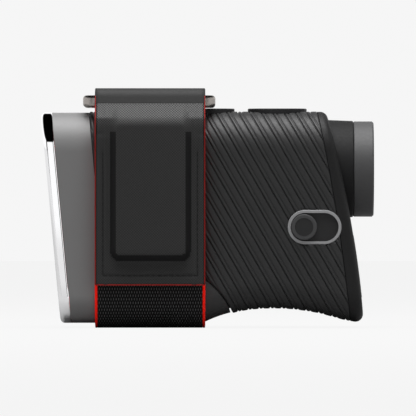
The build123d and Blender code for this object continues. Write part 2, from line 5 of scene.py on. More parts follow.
import bmesh
import bpy
import numpy as np
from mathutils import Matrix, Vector


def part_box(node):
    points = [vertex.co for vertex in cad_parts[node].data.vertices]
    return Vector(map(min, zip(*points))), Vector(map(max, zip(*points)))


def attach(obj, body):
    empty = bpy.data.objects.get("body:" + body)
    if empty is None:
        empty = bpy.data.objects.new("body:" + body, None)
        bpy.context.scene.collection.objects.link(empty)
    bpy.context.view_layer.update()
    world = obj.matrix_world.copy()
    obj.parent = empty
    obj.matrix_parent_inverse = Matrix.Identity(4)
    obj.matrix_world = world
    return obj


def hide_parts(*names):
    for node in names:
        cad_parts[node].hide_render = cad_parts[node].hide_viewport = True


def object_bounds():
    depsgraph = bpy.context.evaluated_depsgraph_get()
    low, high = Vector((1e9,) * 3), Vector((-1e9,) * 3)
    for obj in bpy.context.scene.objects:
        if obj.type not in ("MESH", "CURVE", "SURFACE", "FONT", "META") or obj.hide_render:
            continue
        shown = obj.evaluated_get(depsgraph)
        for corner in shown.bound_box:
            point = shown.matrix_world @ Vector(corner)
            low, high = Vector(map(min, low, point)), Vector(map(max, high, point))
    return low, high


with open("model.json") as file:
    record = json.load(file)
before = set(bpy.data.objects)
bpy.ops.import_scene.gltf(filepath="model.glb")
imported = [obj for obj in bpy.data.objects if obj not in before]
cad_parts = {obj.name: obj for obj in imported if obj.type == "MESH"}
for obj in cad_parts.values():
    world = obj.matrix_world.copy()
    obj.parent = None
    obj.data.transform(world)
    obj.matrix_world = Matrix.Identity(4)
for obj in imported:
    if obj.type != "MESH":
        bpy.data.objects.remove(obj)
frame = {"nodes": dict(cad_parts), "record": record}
cad_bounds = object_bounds()
MM = 0.001
nodes = frame["nodes"]
scene = bpy.context.scene

# ------------------------------------------------------------------ node helpers


def new_material(name):
    mat = bpy.data.materials.new(name)
    mat.use_nodes = True
    tree = mat.node_tree
    shader = tree.nodes["Principled BSDF"]
    return mat, tree, shader


def add_node(tree, kind, **settings):
    node = tree.nodes.new(kind)
    for key, value in settings.items():
        if key in node.inputs:
            node.inputs[key].default_value = value
        else:
            setattr(node, key, value)
    return node


def math_node(tree, operation, a, b=None):
    node = add_node(tree, "ShaderNodeMath", operation=operation)
    for socket, value in zip(node.inputs, (a, b)):
        if value is None:
            continue
        if isinstance(value, (int, float)):
            socket.default_value = value
        else:
            tree.links.new(value, socket)
    return node.outputs[0]


def ramp(tree, value, low, high, to_low, to_high):
    node = add_node(tree, "ShaderNodeMapRange")
    node.interpolation_type = "SMOOTHSTEP"
    tree.links.new(value, node.inputs["Value"])
    for key, number in zip(("From Min", "From Max", "To Min", "To Max"), (low, high, to_low, to_high)):
        node.inputs[key].default_value = number
    return node.outputs["Result"]


def noise(tree, scale, detail=3.0, stretch=None, coordinate="Object"):
    place = add_node(tree, "ShaderNodeTexCoord")
    source = place.outputs[coordinate]
    if stretch:
        mapping = add_node(tree, "ShaderNodeMapping")
        mapping.inputs["Scale"].default_value = stretch
        tree.links.new(source, mapping.inputs["Vector"])
        source = mapping.outputs["Vector"]
    node = add_node(tree, "ShaderNodeTexNoise", Scale=scale, Detail=detail)
    tree.links.new(source, node.inputs["Vector"])
    return node.outputs["Fac"]


def mix_colours(tree, factor, first, second):
    node = add_node(tree, "ShaderNodeMix", data_type="RGBA")
    tree.links.new(factor, node.inputs[0])
    node.inputs[6].default_value = (*first, 1)
    node.inputs[7].default_value = (*second, 1)
    return node.outputs[2]


def bump(tree, shader, height, depth_mm, strength=1.0):
    node = add_node(tree, "ShaderNodeBump", Strength=strength, Distance=depth_mm * MM)
    tree.links.new(height, node.inputs["Height"])
    tree.links.new(node.outputs["Normal"], shader.inputs["Normal"])


def solid(name, colour, rough, metal=0.0, spread=0.12, grain=900.0, grain_mm=0.02, coat=0.0,
          rough_spread=0.08, specular=0.5):
    """A moulded, painted or metal surface with fine grain and slight mottling."""
    mat, tree, shader = new_material(name)
    shader.inputs["Metallic"].default_value = metal
    shader.inputs["Specular IOR Level"].default_value = specular
    shader.inputs["Coat Weight"].default_value = coat
    patches = noise(tree, 60.0)
    darker = tuple(c * (1 - spread) for c in colour)
    lighter = tuple(min(1.0, c * (1 + spread)) for c in colour)
    tree.links.new(mix_colours(tree, patches, darker, lighter), shader.inputs["Base Color"])
    fine = noise(tree, grain, 2.0)
    tree.links.new(ramp(tree, fine, 0.3, 0.7, rough - rough_spread / 2, rough + rough_spread / 2),
                   shader.inputs["Roughness"])
    if grain_mm:
        bump(tree, shader, fine, grain_mm)
    return mat


def glass(name, tint, coating):
    """Coated optical glass: a dark body with a coloured film that shows at a slant."""
    mat, tree, shader = new_material(name)
    facing = add_node(tree, "ShaderNodeLayerWeight", Blend=0.35)
    film = mix_colours(tree, facing.outputs["Facing"], tint, coating)
    tree.links.new(film, shader.inputs["Base Color"])
    shader.inputs["Coat Weight"].default_value = 1.0
    shader.inputs["Coat Roughness"].default_value = 0.02
    dust = noise(tree, 300.0)
    tree.links.new(ramp(tree, dust, 0.4, 0.8, 0.03, 0.08), shader.inputs["Roughness"])
    return mat


def weave(name, dark, light, pitch, rows, rough=0.75, depth_mm=0.12, sheen=0.3):
    """Woven threads from a grid in the piece's own UV map, in mm: staggered floats on a dark ground."""
    mat, tree, shader = new_material(name)
    place = add_node(tree, "ShaderNodeUVMap")
    split = add_node(tree, "ShaderNodeSeparateXYZ")
    tree.links.new(place.outputs["UV"], split.inputs[0])
    across = math_node(tree, "DIVIDE", split.outputs[0], pitch)
    along = math_node(tree, "DIVIDE", split.outputs[1], rows)
    row = math_node(tree, "FLOOR", along)
    shift = math_node(tree, "MULTIPLY", math_node(tree, "MODULO", row, 2.0), 0.5)
    across = math_node(tree, "ADD", across, shift)
    u = math_node(tree, "ABSOLUTE", math_node(tree, "SUBTRACT", math_node(tree, "FRACT", across), 0.5))
    v = math_node(tree, "ABSOLUTE", math_node(tree, "SUBTRACT", math_node(tree, "FRACT", along), 0.5))
    far = math_node(
        tree, "SQRT",
        math_node(tree, "ADD", math_node(tree, "MULTIPLY", math_node(tree, "MULTIPLY", u, u), 5.0),
                  math_node(tree, "MULTIPLY", v, v)),
    )
    thread = ramp(tree, far, 0.22, 0.5, 1.0, 0.0)
    tree.links.new(mix_colours(tree, thread, dark, light), shader.inputs["Base Color"])
    shader.inputs["Sheen Weight"].default_value = sheen
    shader.inputs["Specular IOR Level"].default_value = 0.1
    fuzz = noise(tree, 2500.0)
    tree.links.new(ramp(tree, fuzz, 0.3, 0.7, rough - 0.1, rough + 0.1), shader.inputs["Roughness"])
    bump(tree, shader, thread, depth_mm)
    return mat


def twill(name, dark, light, pitch, rough=0.6, depth_mm=0.08, sheen=0.2):
    """Fine diagonal twill from the UV map, in mm, with thread to thread variation."""
    mat, tree, shader = new_material(name)
    place = add_node(tree, "ShaderNodeUVMap")
    split = add_node(tree, "ShaderNodeSeparateXYZ")
    tree.links.new(place.outputs["UV"], split.inputs[0])
    diagonal = math_node(tree, "ADD", split.outputs[0], split.outputs[1])
    wave = math_node(tree, "SINE", math_node(tree, "MULTIPLY", diagonal, 2 * math.pi / pitch))
    cross = math_node(tree, "SINE", math_node(tree, "MULTIPLY", split.outputs[1], 4 * math.pi / pitch))
    both = math_node(tree, "ADD", wave, math_node(tree, "MULTIPLY", cross, 0.4))
    thread = ramp(tree, both, -0.9, 1.1, 0.0, 1.0)
    tree.links.new(mix_colours(tree, thread, dark, light), shader.inputs["Base Color"])
    shader.inputs["Sheen Weight"].default_value = sheen
    shader.inputs["Specular IOR Level"].default_value = 0.15
    fuzz = noise(tree, 1800.0)
    tree.links.new(ramp(tree, fuzz, 0.3, 0.7, rough - 0.1, rough + 0.1), shader.inputs["Roughness"])
    bump(tree, shader, thread, depth_mm)
    return mat


def checker_weave(name, dark, light, pitch, rough=0.6, depth_mm=0.1):
    """Fine webbing: threads that rise over every other thread, from the UV map in mm, painted lighter and
    with more contrast over the first 10 to 15 mm along the strip as a painted sheen where the overhead light
    falls on the flap's top.
    """
    mat, tree, shader = new_material(name)
    place = add_node(tree, "ShaderNodeUVMap")
    split = add_node(tree, "ShaderNodeSeparateXYZ")
    tree.links.new(place.outputs["UV"], split.inputs[0])
    turn = 2 * math.pi / pitch
    across = math_node(tree, "SINE", math_node(tree, "MULTIPLY", split.outputs[0], turn))
    along = math_node(tree, "SINE", math_node(tree, "MULTIPLY", split.outputs[1], turn))
    # Painted sheen: before 10 to 15 mm along the strip, near the bar, the threads are painted lighter and
    # with more contrast where the overhead light falls.
    painted_sheen_contrast = ramp(tree, split.outputs[1], 10.0, 15.0, 0.5, 0.1)
    level = ramp(tree, split.outputs[1], 10.0, 15.0, 0.5, 0.27)
    swing = math_node(tree, "MULTIPLY", math_node(tree, "MULTIPLY", across, along), painted_sheen_contrast)
    thread = math_node(tree, "ADD", swing, level)
    tree.links.new(mix_colours(tree, thread, dark, light), shader.inputs["Base Color"])
    shader.inputs["Specular IOR Level"].default_value = 0.1
    fuzz = noise(tree, 1800.0)
    tree.links.new(ramp(tree, fuzz, 0.3, 0.7, rough - 0.1, rough + 0.1), shader.inputs["Roughness"])
    bump(tree, shader, thread, depth_mm)
    return mat


BLACK = (0.008, 0.008, 0.0083)
materials = {
    "polished_bezel": solid("polished chrome", (0.86, 0.86, 0.87), 0.05, metal=1.0, spread=0.02,
                            grain=400, grain_mm=0, rough_spread=0.02),
    "shell_paint": solid("satin grey paint", (0.13, 0.13, 0.13), 0.5, spread=0.03, grain=1600,
                         grain_mm=0.008, specular=0.3),
    "black_plastic": solid("moulded black plastic", BLACK, 0.45, grain=1300, grain_mm=0.02, specular=0.3),
    "grip_rubber": solid("soft grip rubber", (0.017, 0.017, 0.0173), 0.5, grain=1500, grain_mm=0.02,
                         specular=0.25),
    "ring_rubber": solid("eyepiece rubber", (0.043, 0.043, 0.044), 0.6, spread=0.05, grain=1500,
                         grain_mm=0.015, specular=0.3),
    "button_rubber": solid("button rubber", (0.01, 0.01, 0.0105), 0.5, grain=1500, grain_mm=0.02,
                           specular=0.2),
    "seal_rubber": solid("seal rubber", (0.012, 0.012, 0.012), 0.6),
    "coated_glass": glass("coated glass", (0.004, 0.006, 0.012), (0.09, 0.03, 0.16)),
    "anodised_black": solid("black anodising", (0.012, 0.012, 0.013), 0.35, metal=0.6),
    "trim_metal": solid("satin trim", (0.2, 0.2, 0.205), 0.4, spread=0.03, grain=1500, grain_mm=0.006),
    "switch_plastic": solid("switch plastic", (0.013, 0.013, 0.0134), 0.45, grain=1500, grain_mm=0.012,
                            specular=0.22),
    "circuit_board": solid("solder mask", (0.01, 0.09, 0.03), 0.3, grain=600),
    "chip_black": solid("chip package", (0.015, 0.015, 0.016), 0.5),
    "diode_brass": solid("gold plating", (0.75, 0.55, 0.2), 0.25, metal=1.0),
    "screw_steel": solid("zinc plated steel", (0.55, 0.55, 0.55), 0.3, metal=1.0),
    "cell_wrap": solid("battery sleeve", (0.05, 0.05, 0.06), 0.25),
    "ring_metal": solid("satin nickel", (0.34, 0.315, 0.295), 0.36, metal=1.0, spread=0.08,
                        grain=500, grain_mm=0.02),
    "band_elastic": weave("woven elastic", (0.003, 0.003, 0.003), (0.075, 0.075, 0.075), 0.88, 1.15,
                          sheen=0.0),
    "red_edging": twill("red edge binding", (1.0, 0.008, 0.002), (1.0, 0.012, 0.003), 0.5, sheen=0.0),
    "flap_fabric": checker_weave("twill webbing", (0.001, 0.001, 0.001), (0.085, 0.085, 0.085), 0.92),
    "pad_fabric": twill("pad fabric", (0.022, 0.022, 0.022), (0.04, 0.04, 0.04), 0.5, depth_mm=0.05),
    "magnet_nickel": solid("nickel plating", (0.7, 0.7, 0.68), 0.2, metal=1.0),
}
# Finishes that share a slot with others but differ a little in shade or gloss.
casing_finish = solid("casing plastic", (0.027, 0.027, 0.0273), 0.5, grain=1500, grain_mm=0.012,
                      specular=0.25)
rear_finish = solid("rear cover plastic", (0.006, 0.006, 0.0062), 0.6, grain=1300, grain_mm=0.02,
                    specular=0.2)
barrel_finish = solid("barrel plastic", (0.009, 0.009, 0.0092), 0.65, grain=1300, grain_mm=0.02,
                      specular=0.12)
# A darker copy of the flap cloth for the pad's side walls and undersides: painted shade.
pad_painted_shade = solid("pad side painted shade", (0.007, 0.007, 0.0072), 0.7, grain=2200, grain_mm=0.02,
                 specular=0.1)
knob_finish = solid("knob plastic", (0.04, 0.04, 0.041), 0.5, grain=1500, grain_mm=0.012,
                    specular=0.2)
fold_finish = solid("satin binding", (0.013, 0.013, 0.013), 0.65, spread=0.08, grain=2200, grain_mm=0.02,
                    specular=0.2)
dark_binding = twill("dark red binding", (0.16, 0.008, 0.006), (0.26, 0.01, 0.008), 0.5, sheen=0.0)
thread_finish = solid("sewing thread", (0.011, 0.011, 0.011), 0.7, grain=3000, grain_mm=0.02,
                      specular=0.1)
slot_of = {row["node"]: row["material_slot"] for row in frame["record"]["subparts"]}

finish = {"slope_knob": knob_finish, "left_casing": casing_finish, "right_casing": casing_finish,
          "rear_cover": rear_finish, "eyepiece_barrel": barrel_finish}

for name, piece in nodes.items():
    piece.data.materials.clear()
    piece.data.materials.append(finish.get(name, materials[slot_of[name]]))
    for face in piece.data.polygons:
        face.use_smooth = True
    edge = piece.modifiers.new("edges", "BEVEL")
    edge.width = (0.03 if name == "front_shell" else 0.12) * MM
    edge.segments = 2
    edge.limit_method = "ANGLE"
    edge.angle_limit = math.radians(40)
    edge.harden_normals = True


def make_piece(name, points, faces, slot, uvs=None, smooth=True):
    """A mesh object from points in mm."""
    mesh = bpy.data.meshes.new(name)
    mesh.from_pydata([tuple(p) for p in np.asarray(points) * MM], [], faces)
    if uvs is not None:
        layer = mesh.uv_layers.new(name="UVMap")
        loops = np.zeros(len(mesh.loops), np.int32)
        mesh.loops.foreach_get("vertex_index", loops)
        layer.data.foreach_set("uv", np.asarray(uvs)[loops].ravel())
    piece = bpy.data.objects.new(name, mesh)
    scene.collection.objects.link(piece)
    piece.data.materials.append(materials[slot])
    for face in mesh.polygons:
        face.use_smooth = smooth
    return piece


def clean(piece, distance_mm=0.004):
    """Merges doubled points and drops the faces that closed up."""
    work = bmesh.new()
    work.from_mesh(piece.data)
    bmesh.ops.remove_doubles(work, verts=work.verts, dist=distance_mm * MM)
    bmesh.ops.dissolve_degenerate(work, edges=work.edges, dist=distance_mm * MM / 2)
    bmesh.ops.recalc_face_normals(work, faces=work.faces)
    work.to_mesh(piece.data)
    work.free()


# ------------------------------------------------------------------ the body's outer surface, in mm

TOP, SIDE = 72.9, 20.0
R_TOP, R_LOW = 13.0, 9.0
GROOVE_ANGLE = math.radians(60)
PITCH_X = 3.868  # along X between two deep grooves
PHASE_X = 64.05  # where one deep groove's line crosses Z 0
CREST = 0.34
BODY_BASE = 1.65
NOSE_X = -37.0  # the bezel's front edge at the top of the body
SHELL_REAR_X = -20.8
SLANT = math.tan(math.radians(5.4))  # the front leans back towards the base
SIDE_RUN = 49.25  # length of the straight side in the section
WAIST = [(17.8, 1.65), (29.0, 5.6), (42.7, 6.9), (56.0, 5.5), (67.0, 2.75), (72.05, 1.9)]


def underside(x):
    """Height of the body's underside at x."""
    xs = np.array([p[0] for p in WAIST])
    zs = np.array([p[1] for p in WAIST])
    slopes = np.gradient(zs, xs)
    slopes[0] = 0.46
    x = np.asarray(x, float)
    i = np.clip(np.searchsorted(xs, x) - 1, 0, len(xs) - 2)
    width = xs[i + 1] - xs[i]
    t = np.clip((x - xs[i]) / width, 0, 1)
    curve = (
        (2 * t**3 - 3 * t**2 + 1) * zs[i] + (t**3 - 2 * t**2 + t) * width * slopes[i]
        + (3 * t**2 - 2 * t**3) * zs[i + 1] + (t**3 - t**2) * width * slopes[i + 1]
    )
    return np.where(x < xs[0], BODY_BASE, curve)


def section(x, way, out=0.0):
    """(y, z) on the body's cross-section at x, way running 0..1 from the top middle down to the bottom."""
    low = underside(x)
    flat_top = SIDE - R_TOP
    flat_low = SIDE - R_LOW
    side = (TOP - R_TOP) - (low + R_LOW)
    lengths = [flat_top, R_TOP * math.pi / 2, SIDE_RUN, R_LOW * math.pi / 2, flat_low]
    total = sum(lengths)
    s = way * total
    edges = np.cumsum([0] + lengths)
    if s <= edges[1]:
        return np.full_like(low, s), np.full_like(low, TOP + out)
    if s <= edges[2]:
        turn = (s - edges[1]) / R_TOP
        reach = R_TOP + out
        return (np.full_like(low, flat_top + reach * math.sin(turn)),
                np.full_like(low, TOP - R_TOP + reach * math.cos(turn)))
    if s <= edges[3]:
        t = (s - edges[2]) / lengths[2]
        return np.full_like(low, SIDE + out), TOP - R_TOP - t * side
    if s <= edges[4]:
        turn = (s - edges[3]) / R_LOW
        reach = R_LOW + out
        return (np.full_like(low, flat_low + reach * math.cos(turn)),
                low + R_LOW - reach * math.sin(turn))
    return np.full_like(low, flat_low - (s - edges[4])), low - out


def ways():
    """Steps down one side of the section, closer together round the corners."""
    lengths = [SIDE - R_TOP, R_TOP * math.pi / 2, SIDE_RUN, R_LOW * math.pi / 2, SIDE - R_LOW]
    counts = [5, 20, 40, 16, 7]
    steps, start = [], 0.0
    for length, count in zip(lengths, counts):
        steps += [start + length * k / count for k in range(count)]
        start += length
    return [s / start for s in steps] + [1.0]


def rear_line(z):
    """x of the grip's rear boundary at height z."""
    top, middle, low = (56.1, 76.0), (63.3, 38.0), (68.3, -2.0)
    chord = low[0] + (top[0] - low[0]) * (z - low[1]) / (top[1] - low[1])
    bow = middle[0] - (low[0] + (top[0] - low[0]) * (middle[1] - low[1]) / (top[1] - low[1]))
    t = (z - low[1]) / (top[1] - low[1]) * 2 - 1
    return chord + bow * (1 - t * t)


def front_line(z):
    """x of the grip's front boundary at height z: the grey shell, then the smooth lower casing."""
    shell = SHELL_REAR_X + (TOP - z) * SLANT
    slope = -30 + (47.8 - z) * 47.5 / 30.8
    corner = np.array([17.5, 19.6, 21.6, 23.5, 25.2, 26.5, 27.4, 28.3])
    height = np.array([17.0, 15.45, 13.75, 11.7, 9.3, 6.9, 5.0, 2.5])
    curve = np.interp(-z, -height, corner)
    return np.where(z > 17.0, np.maximum(shell, slope), curve) + np.where(z < 46, 0.45, 0.05)


def rib_profile(phase):
    """Height above the groove floor at a place between deep grooves, 0 to 1."""
    shallow = 1.13 / 3.35
    near_deep = np.minimum(phase, 1 - phase)
    near_shallow = np.abs(phase - shallow)
    dip = CREST * 1.35 * np.exp(-(near_deep / 0.052) ** 2)
    dip2 = CREST * 0.75 * np.exp(-(near_shallow / 0.06) ** 2)
    dome = 0.05 * np.cos((phase - 0.68) * math.pi / 0.6) * (phase > shallow)
    return CREST - dip - dip2 + dome


def build_grip():
    step_ways = ways()
    phases = [0.0, 0.03, 0.06, 0.1, 0.15, 0.2, 0.26, 0.3, 0.337, 0.38, 0.43, 0.52, 0.62, 0.72, 0.82,
              0.88, 0.92, 0.955, 0.98]
    marks = np.array([n + p for n in range(-24, 13) for p in phases])
    lines = PHASE_X + marks * PITCH_X
    heights = rib_profile(marks % 1.0)
    lean = 1 / math.tan(GROOVE_ANGLE)
    rows = []
    half = [(w, 1) for w in step_ways] + [(w, -1) for w in reversed(step_ways[1:-1])]
    for way, sign in half:
        x = lines - 40 * lean
        for _ in range(12):
            y, z = section(x, way)
            x = lines - z * lean
        y, z = section(x, way)
        low, high = front_line(z), rear_line(z)
        for _ in range(8):
            low, high = front_line(section(low, way)[1]), rear_line(section(high, way)[1])
        out = heights.copy()
        clamped = np.clip(x, low, high)
        edge = np.minimum(clamped - low, high - clamped)
        out = np.where(edge < 0.35, -0.25 + 0.5 * np.clip(edge / 0.35, 0, 1), out)
        out = np.where(np.abs(clamped) < 18.9, np.minimum(out, 0.0), out)
        y0, z0 = section(clamped, way)
        normal_y, normal_z = section(clamped, way, 1.0)
        outer = np.stack([clamped, sign * (y0 + (normal_y - y0) * out),
                          z0 + (normal_z - z0) * out], 1)
        back = np.linspace(high[0], low[0], 16)
        y1, z1 = section(back, way, -1.35)
        rows.append(np.concatenate([outer, np.stack([back, sign * y1, z1], 1)]))
    count = len(marks) + 16
    faces = []
    for i in range(len(rows)):
        j = (i + 1) % len(rows)
        for k in range(count):
            m = (k + 1) % count
            faces.append((i * count + k, i * count + m, j * count + m, j * count + k))
    grip = make_piece("grip_ribs", np.concatenate(rows), faces, "grip_rubber")
    clean(grip)
    return grip


def cut(piece, cutter):
    """Cuts a closed piece with a closed cutter, then drops the cutter."""
    tool = piece.modifiers.new("cut", "BOOLEAN")
    tool.operation = "DIFFERENCE"
    tool.solver = "EXACT"
    tool.object = cutter
    shaped = bpy.data.meshes.new_from_object(piece.evaluated_get(bpy.context.evaluated_depsgraph_get()))
    piece.modifiers.remove(tool)
    piece.data = shaped
    bpy.data.objects.remove(cutter)


def prism(name, outline, start, end, axis):
    """A closed prism of an outline in mm, along Y or Z, to cut with."""
    points = []
    for level in (start, end):
        for a, b in outline:
            points.append((a, level, b) if axis == "Y" else (a, b, level))
    count = len(outline)
    faces = [tuple(range(count)), tuple(range(2 * count - 1, count - 1, -1))]
    faces += [(k, k + count, (k + 1) % count + count, (k + 1) % count) for k in range(count)]
    mesh = bpy.data.meshes.new(name)
    mesh.from_pydata([tuple(c * MM for c in p) for p in points], [], faces)
    tool = bpy.data.objects.new(name, mesh)
    scene.collection.objects.link(tool)
    work = bmesh.new()
    work.from_mesh(mesh)
    bmesh.ops.recalc_face_normals(work, faces=work.faces)
    work.to_mesh(mesh)
    work.free()
    return tool


def node_middle(name):
    low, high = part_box(name)
    return [(a + b) / 2 / MM for a, b in zip(low, high)], [(b - a) / MM for a, b in zip(low, high)]


grip = build_grip()
for button in ("fire_button", "mode_button"):
    (x, y, _), _ = node_middle(button)
    corners = [(x + sx * 2.0, y + sy * 3.0, turn)
               for sx, sy, turn in ((1, 1, 0), (-1, 1, 1), (-1, -1, 2), (1, -1, 3))]
    outline = [(cx + 8.3 * math.cos(t), cy + 8.3 * math.sin(t)) for cx, cy, turn in corners
               for t in np.linspace(turn * math.pi / 2, (turn + 1) * math.pi / 2, 17)]
    cut(grip, prism("button hole", outline, 60, 80, "Z"))
(trim_x, _, trim_z), (trim_length, _, trim_height) = node_middle("switch_trim")
radius = trim_height / 2 + 0.02
straight = (trim_length - trim_height) / 2
slot_shape = [(trim_x + straight + radius * math.cos(t), trim_z + radius * math.sin(t))
              for t in np.linspace(-math.pi / 2, math.pi / 2, 33)]
slot_shape += [(trim_x - straight + radius * math.cos(t), trim_z + radius * math.sin(t))
               for t in np.linspace(math.pi / 2, 3 * math.pi / 2, 33)]
cut(grip, prism("switch hole", slot_shape, -25, -15, "Y"))
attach(grip, "housing")
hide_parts("rubber_grip")

# ------------------------------------------------------------------ the polished front frame, in mm


def frame_outline(inset, count=40):
    """(y, z) round the body's front section moved inwards, anticlockwise, with its rounded corners."""
    points = []
    corners = [(SIDE - R_TOP, TOP - R_TOP, R_TOP, 0), (R_TOP - SIDE, TOP - R_TOP, R_TOP, 1),
               (R_LOW - SIDE, BODY_BASE + R_LOW, R_LOW, 2), (SIDE - R_LOW, BODY_BASE + R_LOW, R_LOW, 3)]
    for y, z, radius, quarter in corners:
        turns = np.linspace(quarter * math.pi / 2, (quarter + 1) * math.pi / 2, count)
        points += [(y + (radius - inset) * math.cos(t), z + (radius - inset) * math.sin(t)) for t in turns]
    return points


def build_bezel():
    """The polished front frame: a flat side, a rounded front edge and a turned-in lip."""
    edge, lip = 1.35, 0.45
    profile = [(3.72, 0.0), (3.0, 0.0), (2.2, 0.0), (edge + 0.02, 0.0)]
    profile += [(edge * (1 - math.sin(t)), edge * (1 - math.cos(t)))
                for t in np.linspace(0.04, math.pi / 2, 14)]
    profile += [(0.0, 1.8), (0.0, 2.3), (0.0, 3.2 - lip)]
    profile += [(lip * (1 - math.cos(t)), 3.2 - lip + lip * math.sin(t))
                for t in np.linspace(0.1, math.pi / 2, 6)]
    profile += [(3.5, 3.2), (3.72, 3.2)]
    points, faces = [], []
    loops = [frame_outline(inset) for _, inset in profile]
    for (depth, _), loop in zip(profile, loops):
        for y, z in loop:
            points.append((NOSE_X + (TOP - z) * SLANT + depth, y, z))
    count = len(loops[0])
    for i in range(len(profile)):
        j = (i + 1) % len(profile)
        for k in range(count):
            m = (k + 1) % count
            faces.append((i * count + k, i * count + m, j * count + m, j * count + k))
    bezel = make_piece("bezel_frame", points, faces, "polished_bezel")
    clean(bezel, 0.001)
    for face in bezel.data.polygons:
        face.use_smooth = True
    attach(bezel, "housing")
    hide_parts("front_bezel")
    return bezel


bezel = build_bezel()

# ------------------------------------------------------------------ strap, in mm

STRAP = 18.67  # half the strap's width
EDGING = 1.0
BAR = (14.5, 76.7)  # (y, z) of a bar of the ring
HIGH = (7.0, 59.9)  # (y, z) of the middle of the body's upper corner
LOW = (11.0, 10.65)
BAND_WRAP, BAND_HIGH, BAND_LOW = 2.95, 13.85, 9.85


def lean_to_bar(corner, wrap, crossing):
    """Direction in degrees, on the near side, of the run between a body corner and the bar."""
    rise, sideways = BAR[1] - HIGH[1], BAR[0] - HIGH[0]
    across = corner + wrap if crossing else corner - wrap
    swing = math.degrees(math.acos(across / math.hypot(rise, sideways)))
    return math.degrees(math.atan2(rise, -sideways)) + swing


def run(arcs, spacing=1.0, end=None):
    """A line through arcs given as (centre, radius, start angle, end angle), joined by straight runs."""
    points = []
    for (cy, cz), radius, start, stop in arcs:
        count = max(3, int(abs(stop - start) * math.pi / 180 * radius / min(spacing, radius / 5)) + 1)
        arc = [(cy + radius * math.cos(t), cz + radius * math.sin(t))
               for t in np.radians(np.linspace(start, stop, count))]
        points += straight_run(points[-1], arc[0], spacing) if points else []
        points += arc
    if end:
        points += straight_run(points[-1], end, spacing) + [end]
    return np.array(points)


def straight_run(a, b, spacing):
    count = int(math.dist(a, b) / spacing)
    return [tuple(np.array(a) + (np.array(b) - np.array(a)) * k / (count + 1))
            for k in range(1, count + 1)]


def frames(path, side):
    """Unit normals along a path and the distance along it."""
    tangent = np.gradient(path, axis=0)
    tangent /= np.linalg.norm(tangent, axis=1)[:, None]
    normal = np.stack([-tangent[:, 1], tangent[:, 0]], 1) * side
    steps = np.linalg.norm(np.diff(path, axis=0), axis=1)
    return normal, np.concatenate([[0], np.cumsum(steps)])


def ribbon(name, path, side, rim, slot, body, relief=None):
    """A strip of fabric: rim lists its (x, depth from the path) outline, relief moves the points."""
    normal, along = frames(path, side)
    points, uvs = [], []
    for (y, z), (ny, nz), s in zip(path, normal, along):
        for x, depth in rim:
            points.append((x, y + ny * depth, z + nz * depth))
            uvs.append((x, s))
    points = np.array(points)
    if relief:
        points = relief(points, np.array([d for _, d in rim] * len(path)))
    count = len(rim)
    faces = []
    for i in range(len(path) - 1):
        for k in range(count):
            m = (k + 1) % count
            faces.append((i * count + k, i * count + m, (i + 1) * count + m, (i + 1) * count + k))
    faces.append(tuple(range(count)))
    last = (len(path) - 1) * count
    faces.append(tuple(range(last + count - 1, last - 1, -1)))
    strip = make_piece(name, points, faces, slot, uvs)
    work = bmesh.new()
    work.from_mesh(strip.data)
    bmesh.ops.recalc_face_normals(work, faces=work.faces)
    work.to_mesh(strip.data)
    work.free()
    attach(strip, body)
    return strip


def flat_rim(x_low, x_high, inner, outer, step, round_mm=0.3):
    """Outline of a strip's section with softened edges."""
    xs = np.linspace(x_low + round_mm, x_high - round_mm, max(2, int((x_high - x_low) / step)))
    middle = (inner + outer) / 2
    top = [(x, outer) for x in xs]
    bottom = [(x, inner) for x in reversed(xs)]
    right = [(x_high - round_mm * 0.25, outer - (outer - inner) * 0.12), (x_high, middle),
             (x_high - round_mm * 0.25, inner + (outer - inner) * 0.12)]
    left = [(x_low + round_mm * 0.25, inner + (outer - inner) * 0.12), (x_low, middle),
            (x_low + round_mm * 0.25, outer - (outer - inner) * 0.12)]
    return top + right + bottom + left


crossing = lean_to_bar(BAND_HIGH, BAND_WRAP, True)
outside = lean_to_bar(BAND_HIGH, BAND_WRAP, False)
near_high, near_low, near_bar = (-HIGH[0], HIGH[1]), (-LOW[0], LOW[1]), (-BAR[0], BAR[1])
band_path = run([
    (near_bar, BAND_WRAP, crossing - 180 + 14, crossing - 180),
    (near_high, BAND_HIGH, crossing, 180),
    (near_low, BAND_LOW, 180, 270),
    (LOW, BAND_LOW, 270, 360),
    (HIGH, BAND_HIGH, 0, 180 - outside),
    (BAR, BAND_WRAP, 180 - outside, 360 - crossing),
    (HIGH, BAND_HIGH, 180 - crossing, 180 - outside + 3),
])
band = ribbon("elastic_band", band_path, 1, flat_rim(-STRAP + 0.9, STRAP - 0.9, -0.8, 0.8, 1.5, 0.1),
              "band_elastic", "housing")
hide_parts("strap_band")
for side in (-1, 1):
    low, high = sorted((side * (STRAP - EDGING), side * STRAP))
    ribbon(f"band_edge_{'left' if side < 0 else 'right'}", band_path, 1,
                          flat_rim(low, high, -0.85, 0.85, 0.4, 0.25), "red_edging", "housing")
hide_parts("band_edging")

FLAP_IN, FLAP_OUT = -22.8, -24.8
FLAP_CORNER = -FLAP_IN - HIGH[0]
FLAP_WRAP = 2.36
flap_turn = lean_to_bar(FLAP_CORNER, FLAP_WRAP, False)
FLAP_END = 14.4
SEAM_Z = 75.6
PAD = dict(x=(-11.6, 12.0), z=(25.4, 65.5), face=-27.8)
flap_path = run([
    (near_bar, FLAP_WRAP, 90, flap_turn),
    (near_high, FLAP_CORNER, flap_turn, 180),
], spacing=0.5, end=(FLAP_IN, FLAP_END + 0.3))


def smooth_step(t):
    t = np.clip(t, 0, 1)
    return t * t * (3 - 2 * t)


def bulge(face):
    """Pushes (y, z) points of the flap's face out to where the pouch stands, up to its seam."""
    y, z = face.T
    stand = np.interp(z, [57, 64, 71.0, 75.5], [-24.8, -25.1, -24.7, -19.9])
    share = smooth_step((SEAM_Z + 0.35 - z) / 0.4) * smooth_step((z - 57) / 3) * (y < -BAR[0])
    return np.stack([np.where(stand < y, y + (stand - y) * share, y), z], 1)


